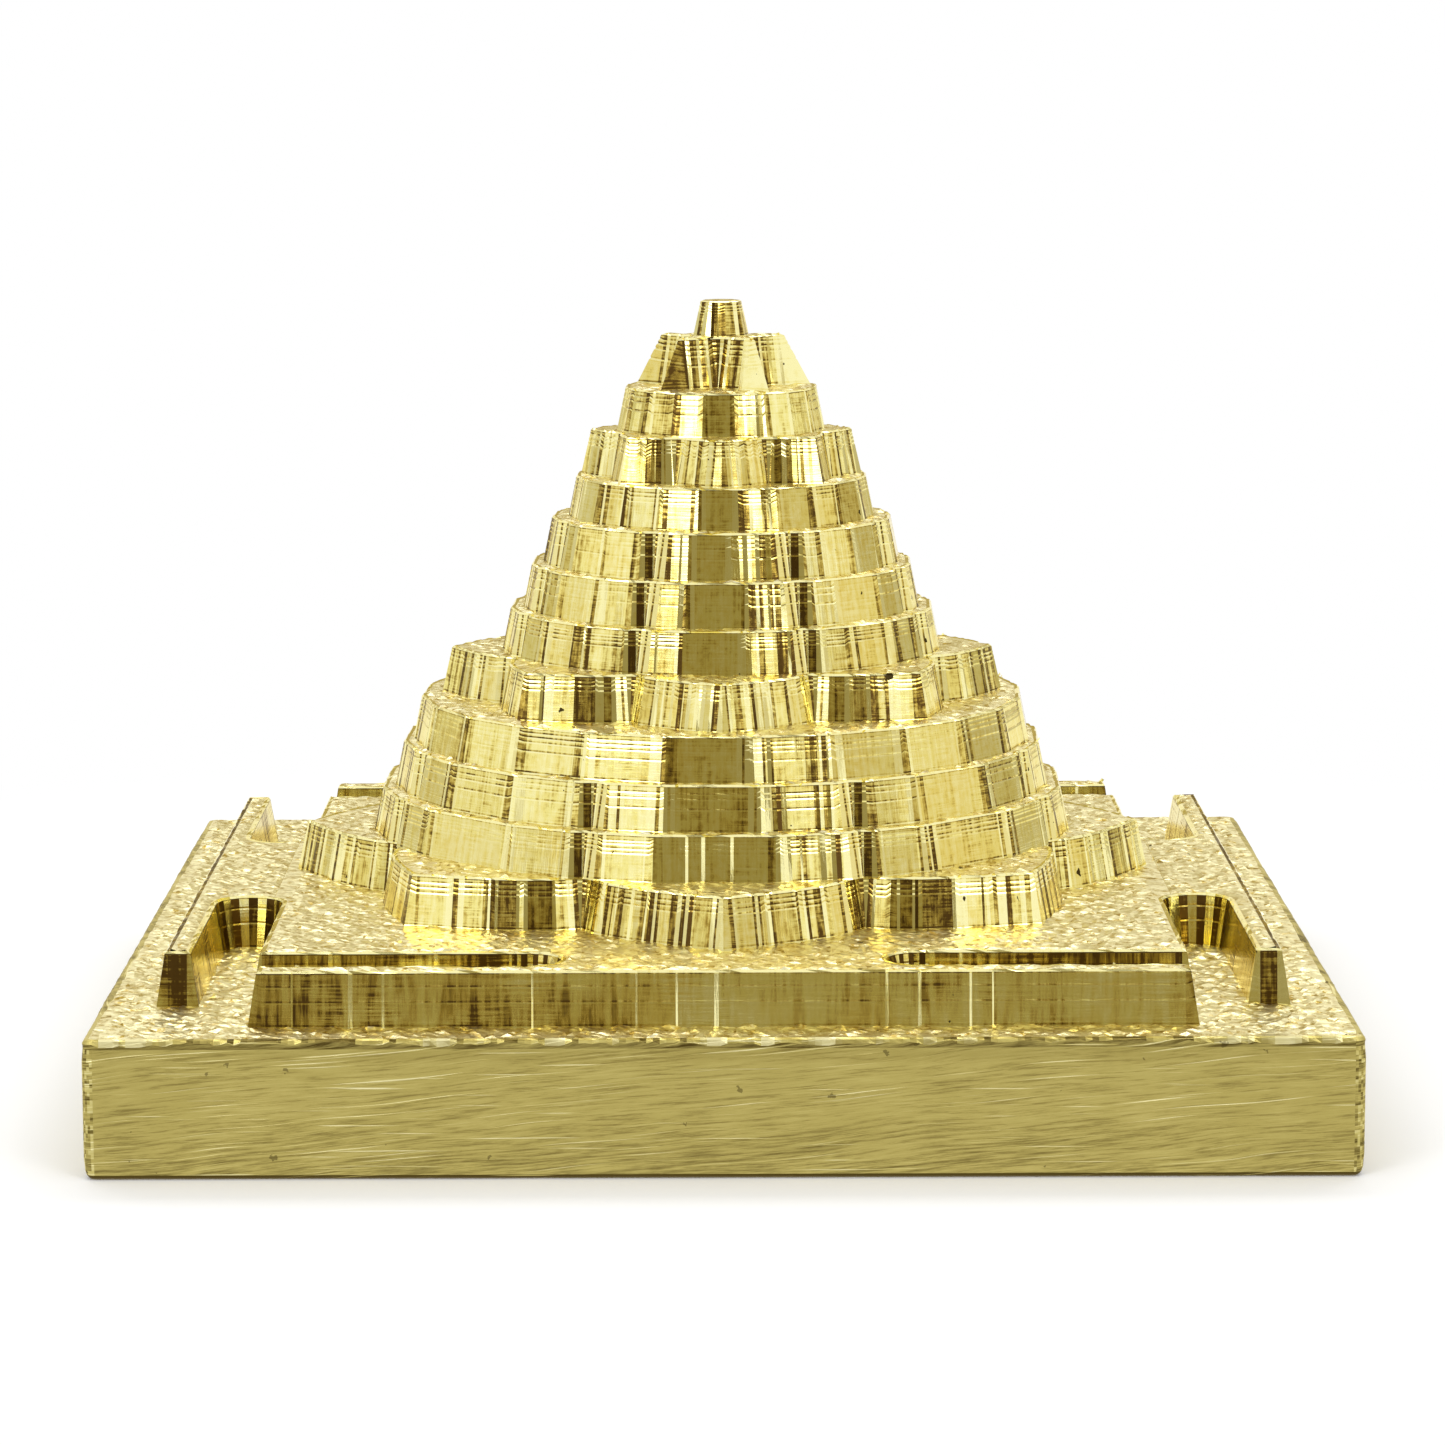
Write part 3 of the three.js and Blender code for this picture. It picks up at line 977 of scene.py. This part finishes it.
def add_burrs(shell, columns, z, rng):
    """A sliver of brass still hangs on a rim here and there, folded up and out."""
    for column in columns:
        if rng.random() > BURR_CHANCE:
            continue
        along = Vector((-column.way.y, column.way.x)) * rng.uniform(0.5, 1) * BURR_SIZE
        out = column.way * rng.uniform(0.2, 0.6) * BURR_SIZE
        lift = rng.uniform(0.2, 0.6) * BURR_SIZE
        base = column.point - column.way * BURR_ROOT
        tip = base + along * 0.7 + out
        ring = ((base, -BURR_ROOT), (base + along, -BURR_ROOT), (tip, lift), (base + out, lift / 2))
        first = shell.add_points([(spot.x, spot.y, z + rise) for spot, rise in ring])
        for corners in ((0, 1, 2), (0, 2, 3), (2, 1, 0), (3, 2, 0)):
            mapped = [(0, 0), (0.1, 0), (0.1, 0.1)]
            shell.add_face([first + corner for corner in corners], mapped, WALL, BRIGHT_STRIP)


# %% [markdown]
# One function makes a piece from its columns: the wall, the flat that shows round the level
# above, the foot, and a few burrs.

# %% Cut one piece
Flat = namedtuple("Flat", "shows half spacing depth")
LEVEL_FINISH = (level_wall, "level_brass")
GATE_FINISH = (gate_wall, "enclosure_brass")


def top_and_height(name):
    low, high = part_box(name)
    return high.z / MM, (high.z - low.z) / MM


def cut_piece(name, finish, columns, spread, profile, flat, rng, burrs=True, lip_tones=None):
    top, height = top_and_height(name)
    shell = Shell()
    rim, foot = add_wall(shell, columns, top, height, spread, profile, lip_tones)
    spots = scatter_band(rng, flat.shows, flat.half, flat.spacing)
    add_flat(shell, rim, top, spots, flat.depth, rng)
    add_flat(shell, foot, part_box(name)[0].z / MM, [], 0.0, up=False)
    if burrs:
        add_burrs(shell, columns, top, rng)
    shell.make(name + "_cut", [finish[0], cut_floor], name, finish[1])


# %% [markdown]
# ## The thirteen levels
# The solids give every level's rim, foot and reach. The drawing inside that reach is the
# traditional one: eight petals, eight lobes, plain rounds, a five-pointed star and a point.

# %% Level outlines
PETALS = 8
PITCH = 360 / PETALS
LEVEL_LEAN = math.tan(math.radians(11.5))


def round_rim(radius, facets, turn):
    """A round cut in straight facets, and turned so that its front facet is off centre."""
    return [from_front(radius, turn + (i + 0.5) * 360 / facets) for i in range(facets)]


NOTCH_HALF_WIDTH, NOTCH_DEPTH, CLEAR_OF_NOTCH = 0.47, 0.2, 3


def scallop_rim(radius, facets, turn):
    """Eight lobes cut in straight facets, parted by small notches."""
    half_arc = PITCH / 2 - math.degrees(NOTCH_HALF_WIDTH / radius)
    stops = [turn + (i + 0.5) * 360 / facets for i in range(-3, 3)]
    inner = [stop for stop in stops if abs(stop) < half_arc - CLEAR_OF_NOTCH]
    rim = []
    for lobe in range(PETALS):
        middle = lobe * PITCH
        rim.append(from_front(radius - NOTCH_DEPTH, middle - PITCH / 2))
        rim += [from_front(radius, middle + stop) for stop in (-half_arc, *inner, half_arc)]
    return rim


PETAL_NOTCH = 0.808
SHOULDER_ALONG, SHOULDER_ACROSS = 0.873, 0.272
PETAL_STOPS = (0, 0.26, 0.46, 0.64, 0.82, 1)


def bend(start, pull, end, share):
    return start * (1 - share) ** 2 + pull * 2 * share * (1 - share) + end * share**2


def lotus_rim(radius):
    """Eight petals, each a wide pointed arch cut in straight facets."""
    rim = []
    for petal in range(PETALS):
        middle = petal * PITCH
        tip = from_front(radius, middle)
        along = from_front(radius * SHOULDER_ALONG, middle)
        across = from_front(radius * SHOULDER_ACROSS, middle + 90)
        for side, shares in ((-1, PETAL_STOPS), (1, PETAL_STOPS[-2:0:-1])):
            notch = from_front(radius * PETAL_NOTCH, middle + side * PITCH / 2)
            rim += [bend(notch, along + across * side, tip, share) for share in shares]
    return rim


STAR_POINTS, STAR_VALLEY = 5, 0.44


def star_rim(radius, turn):
    radii = (radius, radius * STAR_VALLEY)
    pitch = 180 / STAR_POINTS
    return [from_front(radii[i % 2], turn + i * pitch) for i in range(2 * STAR_POINTS)]


# %% [markdown]
# Every level has its own seeded draw of strips. The bindu takes a later one, which puts its
# dark strip left of the front and brown ones beside it, as the cutter did.

# %% Level table
Level = namedtuple("Level", "name rim reach shape style draw", defaults=(round_style, 0))
LEVELS = [
    Level("large_lotus", lotus_rim, 13.748, (), petal_style),
    Level("outer_scalloped_ring", scallop_rim, 11.276, (18, -1), ridged_style),
    Level("inner_scalloped_ring", scallop_rim, 10.527, (22, -1.8)),
    Level("wide_round_terrace", round_rim, 9.905, (24, -2.7)),
    Level("middle_lotus", lotus_rim, 8.902, (), petal_style),
    Level("lower_scalloped_step", scallop_rim, 6.966, (22, -2.1)),
    Level("middle_scalloped_step", scallop_rim, 6.274, (20, -1.4)),
    Level("upper_scalloped_step", scallop_rim, 5.567, (26, -4)),
    Level("middle_round_terrace", round_rim, 4.776, (24, -1.3)),
    Level("small_lotus", lotus_rim, 4.267, (), petal_style),
    Level("upper_round_terrace", round_rim, 3.151, (20, -1.5)),
    Level("five_pointed_star", star_rim, 2.105, (31,), star_style),
    Level("bindu", round_rim, 0.671, (8, -12), point_style, 100),
]
CUTTER_AT_RIM, FAN_STEPS = 0.38, 3
LEVEL_GROOVE, LEVEL_SPACING, LEVEL_RELIEF = 0.012, 0.19, 0.08
ROUND_MARGIN, NOTCHED_MARGIN, HIDDEN_SHARE = 0.22, 0.42, 0.8


def inside_rim(columns, hidden, margin):
    """A test for spots well inside the rim that the level above leaves open."""
    points = [column.point for column in columns]
    rim = sorted((math.atan2(point.y, point.x), point.length) for point in points)
    angles = [angle for angle, _ in rim]

    def inside(x, y):
        i = bisect(angles, math.atan2(y, x)) % len(rim)
        return hidden < math.hypot(x, y) < min(rim[i - 1][1], rim[i][1]) - margin

    return inside


def make_level(index, level):
    last = index == len(LEVELS) - 1
    rng = random.Random(100 + index + level.draw)
    stops = corner_stops(level.rim(level.reach, *level.shape), CUTTER_AT_RIM, FAN_STEPS)
    fan_tones = STAR_FAN_TONES if level.rim == star_rim else FAN_TONES
    columns = ring_of_columns(stops, rng, level.style, fan_tones=fan_tones)
    grooves = LEVEL_GROOVES[index % len(LEVEL_GROOVES)]
    profile = groove_profile(grooves, LEVEL_GROOVE, rng, 0.0 if last else LIP)
    hidden = 0 if last else HIDDEN_SHARE * LEVELS[index + 1].reach
    margin = ROUND_MARGIN if level.rim in (round_rim, scallop_rim) else NOTCHED_MARGIN
    shows = inside_rim(columns, hidden, margin)
    flat = Flat(shows, level.reach, LEVEL_SPACING, 0.0 if last else LEVEL_RELIEF)
    spread = top_and_height(level.name)[1] * LEVEL_LEAN
    cut_piece(level.name, LEVEL_FINISH, columns, spread, profile, flat, rng, burrs=not last)


for index, level in enumerate(LEVELS):
    make_level(index, level)

# %% [markdown]
# ## The enclosure and its gates
# A round-ended slot runs in from each side of every corner, so what is left of the outer
# square is four T-shaped gates. Each gate's neck is still one metal with the enclosure;
# the two pieces only part there, along a line that does not show.

# %% Enclosure drawing
ENCLOSURE_HALF, ENCLOSURE_HEIGHT, ENCLOSURE_LEAN = 14.13, 1.68, math.radians(9)
GATE_REACH, BAR_HALF, NECK_HALF = 17.04, 13.98, 4.9
SLOT_RADIUS = 1.07
ENCLOSURE_SPREAD = ENCLOSURE_HEIGHT * math.tan(ENCLOSURE_LEAN)
SEAM = ENCLOSURE_HALF + ENCLOSURE_SPREAD + 0.06
SLOT_MIDDLE = ENCLOSURE_HALF + SLOT_RADIUS
SLOT_END = NECK_HALF + SLOT_RADIUS


def seam_x(radius):
    """Where the seam meets the slot's round end, for a cutter of the given radius."""
    return SLOT_END - math.sqrt(radius**2 - (SLOT_MIDDLE - SEAM) ** 2)


def slot_fan(start, end, steps):
    """The wall round a slot's end at the front right, which moves in as the cutter narrows."""
    return arc(Vector((SLOT_END, -SLOT_MIDDLE)), -SLOT_RADIUS, start, end, steps)


SEAM_ANGLE = math.degrees(math.acos((SLOT_MIDDLE - SEAM) / SLOT_RADIUS))
SEAM_SHIFT = seam_x(SLOT_RADIUS - ENCLOSURE_SPREAD) - seam_x(SLOT_RADIUS)
SEAM_STOP = (
    Vector((seam_x(SLOT_RADIUS), -SEAM)),
    Vector((SEAM_SHIFT / ENCLOSURE_SPREAD, 0)),
)
print("seam in mm:", [round(part, 2) for part in SEAM_STOP[0]])

# %% [markdown]
# Long straight sides were cut without chatter, and the short bars' ends get the darkest tone.
# The walls in the slots are painted darker, as painted shade, and the outer face of a bar is darker
# towards its left end.

# %% Enclosure marks
SLOT_SHADE_TONE = 0.4
LEFT_END_DARKENING, END_TONE = 0.34, 0.85


def gate_style(angle, length, rng):
    # Short facets, such as the bars' ends, get the darkest tone.
    if length < 1:
        return Style(0.0, DARK_STRIP)
    return Style(0.05, PLAIN_TONE + 0.02, 0.1)


def seamless(column):
    """Flattens a column that stands in a seam between two pieces, so it does not show."""
    in_seam = abs(max(abs(column.point.x), abs(column.point.y)) - SEAM) < 0.01
    return column._replace(groove=0.0, push=0.0, lean=1.0) if in_seam else column


def slot_shade(column):
    # Walls in the slots are painted darker: painted shade in the narrow slots.
    in_slot = max(abs(column.point.x), abs(column.point.y)) > ENCLOSURE_HALF - 0.1
    return column._replace(tone=column.tone + SLOT_SHADE_TONE) if in_slot else column


def on_outer_face(spot):
    return spot.y < 0.05 - GATE_REACH


def end_darkening(column, back):
    spot = back @ column.point
    if not on_outer_face(spot):
        return column
    # The outer face gets darker towards its left end, and darkest at that end.
    tone = column.tone + LEFT_END_DARKENING * max(0.0, -spot.x / BAR_HALF - 0.15)
    return column._replace(tone=max(tone, END_TONE) if spot.x < 0.5 - BAR_HALF else tone)


def mirrored(fan):
    return [(Vector((-point.x, point.y)), Vector((-way.x, way.y))) for point, way in fan]


def quarter_turn(quarters):
    return Matrix.Rotation(quarters * math.pi / 2, 2)


def turned(stops, quarters):
    turn = quarter_turn(quarters)
    return [[(turn @ point, turn @ way) for point, way in fan] for fan in stops]


# %% [markdown]
# The enclosure's rim at the front runs from the left corner to the left slot's end, along
# the seam under the gate's neck, and back. The other three sides are the same, turned.

# %% Enclosure piece
GATE_CHATTER, GATE_GROOVE, GATE_SPACING, GATE_RELIEF = 0.6, 0.004, 0.18, 0.08
GATE_MARGIN, NECK_MARGIN = 0.22, 0.1
UNDER_LOTUS = 11


def enclosure_side():
    corner = (Vector((-ENCLOSURE_HALF, -ENCLOSURE_HALF)), Vector((-1, -1)))
    inner = slot_fan(0, SEAM_ANGLE, 5)
    inner[-1] = SEAM_STOP
    return [[corner], mirrored(inner), inner[::-1]]


def on_enclosure(x, y):
    on_square = max(abs(x), abs(y)) < ENCLOSURE_HALF - GATE_MARGIN
    return on_square and math.hypot(x, y) > UNDER_LOTUS


def cut_low_piece(name, seed, stops, darkening, shows, half, lip_tone=None):
    """The enclosure or a gate. Only a gate has burrs, and tones of its own for its lips."""
    rng = random.Random(seed)
    ring = ring_of_columns(stops, rng, gate_style, GATE_CHATTER)
    columns = [seamless(darkening(column)) for column in ring]
    lips = [lip_tone(column) for column in columns] if lip_tone else None
    profile = groove_profile(GATE_GROOVES, GATE_GROOVE, rng)
    flat = Flat(shows, half, GATE_SPACING, GATE_RELIEF)
    spread = ENCLOSURE_SPREAD
    cut_piece(name, GATE_FINISH, columns, spread, profile, flat, rng, lips is not None, lips)


stops = [fan for quarter in range(4) for fan in turned(enclosure_side(), quarter)]
cut_low_piece("enclosure", 31, stops, slot_shade, on_enclosure, ENCLOSURE_HALF)


# %% Gates
# The band under each gate's outer rim is painted: bright on the front gate, a painted highlight,
# dark on the side gates and darker on the back one, painted shade; on a gate's other rims it is
# painted bright, a painted highlight.
PAINTED_LIP_TONES = {"gate_front": 0.15, "gate_right": 1.0, "gate_back": 0.7, "gate_left": 1.0}
OTHER_LIP_HIGHLIGHT = 0.25
BAR_INNER = SLOT_MIDDLE + SLOT_RADIUS


def gate_rim():
    """The front gate, counter-clockwise from the seam's left end."""
    outer = slot_fan(SEAM_ANGLE, 180, 8)
    outer[0] = SEAM_STOP
    signs = ((-1, 1), (-1, -1), (1, -1), (1, 1))
    lines = {1: -BAR_INNER, -1: -GATE_REACH}
    corners = [[(Vector((x * BAR_HALF, lines[y])), Vector((x, y)))] for x, y in signs]
    return [mirrored(outer)] + corners + [outer[::-1]]


def make_gate(name, quarter):
    back = quarter_turn(-quarter)
    outer, inner = GATE_REACH - GATE_MARGIN, BAR_INNER + GATE_MARGIN

    def darkening(column):
        return end_darkening(column, back)

    def lip_tone(column):
        return PAINTED_LIP_TONES[name] if on_outer_face(back @ column.point) else OTHER_LIP_HIGHLIGHT

    def shows(x, y):
        x, y = back @ Vector((x, y))
        on_bar = abs(x) < BAR_HALF - GATE_MARGIN and -outer < y < -inner
        on_neck = abs(x) < NECK_HALF - NECK_MARGIN and -inner <= y < -SEAM - NECK_MARGIN
        return on_bar or on_neck

    stops = turned(gate_rim(), quarter)
    cut_low_piece(name, 50 + quarter, stops, darkening, shows, GATE_REACH, lip_tone)


for quarter, name in enumerate(PAINTED_LIP_TONES):
    make_gate(name, quarter)

# %% [markdown]
# ## The slab
# The slab was sawn from bar and rubbed flat by hand. Its sides bulge a hair, its upright
# corners and lower edge are rounded, and its upper edge still carries the cutter's burr.

# %% Slab drawing
SLAB_HALF = 19.05
SLAB_CORNER = 0.35
SLAB_LIP = ((-0.01, 0.3), (0.0, 0.12), (0.028, 0.02), (0.042, 0.035))
SLAB_SIDE = tuple((0.06 + 0.03 * i, 0.035 - 0.012 * min(i, 3)) for i in range(27))
SLAB_FOOT = ((0.88, 0.015), (0.93, 0.03), (0.965, 0.07), (0.987, 0.14), (1.0, 0.25))
SLAB_PROFILE = SLAB_LIP + SLAB_SIDE + SLAB_FOOT
SLAB_STEP, WANDER = 0.2, 0.012
HIDDEN_SQUARE, SLAB_MARGIN, SLAB_SPACING, SLAB_RELIEF = 13.9, 0.45, 0.19, 0.1


def slab_corner(quarter):
    centre = quarter_turn(quarter) @ Vector((SLAB_HALF - SLAB_CORNER, SLAB_CORNER - SLAB_HALF))
    return arc(centre, SLAB_CORNER, 90 * quarter, 90 * (quarter + 1), 6)


def burr_size(point, way):
    """How large the turned-over burr is, from nought to one. It is largest at the front."""
    slow, middle, quick = (noise.noise(point.to_3d() * grain) for grain in (0.25, 1.3, 4.1))
    beads = 0.3 + 0.9 * slow + 0.6 * quick + 0.8 * middle
    return max(0.0, min(1.0, beads if way.y < -0.5 else 0.15 + 0.25 * beads))


def slab_columns():
    """Point, way, push and burr of columns, pushed in and out a hair by a slow noise."""
    columns = []
    stops = [slab_corner(quarter) for quarter in range(4)]
    for i, fan in enumerate(stops):
        (start, way), end = fan[-1], stops[(i + 1) % len(stops)][0][0]
        columns += [(*stop, -0.01, 0.4) for stop in fan]
        steps = round((end - start).length / SLAB_STEP)
        for step in range(1, steps):
            point = start.lerp(end, step / steps)
            wander = noise.noise(Vector((point.x * 0.35, point.y * 0.35, 3.0)))
            columns.append((point, way, WANDER * wander - WANDER, burr_size(point, way)))
    return columns


def slab_ring(columns, share, push_in, top):
    """One level line of the slab's side. Near its upper edge the burr bends it."""
    wild = 0.7 if share < 0.02 else 0.0
    ring = []
    for point, way, push, burr in columns:
        spot = point + way * (push - push_in * (1 - wild * burr))
        down = share * (0.3 + 1.2 * burr) if share < 0.03 else share
        ring.append((spot.x, spot.y, top * (1 - down)))
    return ring


def slab_band_tone(share, burr, at_corner, rng):
    """The lip is painted bright where the burr is large, as a painted highlight; the corners take
    random tones; the lower edge is painted darkest, as painted shade at the floor.
    """
    # The lip is painted bright where the burr is large: a painted highlight on the burr.
    if share < SLAB_LIP[2][0]:
        return 0.66 - 0.9 * burr
    if share < SLAB_SIDE[0][0]:
        return PLAIN_TONE + 0.12
    # The lower edge is painted darkest: painted shade where the slab meets the floor.
    if share > SLAB_FOOT[1][0]:
        return DARK_STRIP
    if at_corner:
        return rng.choice((0.1, 0.45, 0.5, 0.6))
    return PLAIN_TONE - 0.05 + 0.16 * max(0.0, share - 0.45)


# %% Slab piece
def round_the_pyramid(x, y):
    return HIDDEN_SQUARE < max(abs(x), abs(y)) < SLAB_HALF - SLAB_MARGIN


def make_slab():
    rng = random.Random(7)
    top = top_and_height("base_slab")[0]
    columns = slab_columns()
    points = [column[0] for column in columns]

    def tone_of(k, i):
        at_corner = (points[(i + 1) % len(points)] - points[i]).length < 0.12
        return slab_band_tone(SLAB_PROFILE[k][0], columns[i][3], at_corner, rng)

    shell = Shell()
    rings = [slab_ring(columns, share, push_in, top) for share, push_in in SLAB_PROFILE]
    rim, foot = add_grid(shell, points, rings, [share * top for share, _ in SLAB_PROFILE], tone_of)
    spots = scatter_band(rng, round_the_pyramid, SLAB_HALF, SLAB_SPACING)
    add_flat(shell, rim, top, spots, SLAB_RELIEF, rng)
    add_flat(shell, foot, 0.0, [], 0.0, up=False)
    piece = shell.make("slab_cut", [slab_side, cut_floor], "base_slab", "slab_brass")
    first, last = len(SLAB_LIP), len(SLAB_PROFILE) - 1
    for polygon in piece.data.polygons[first * len(points) : last * len(points)]:
        polygon.use_smooth = True


make_slab()
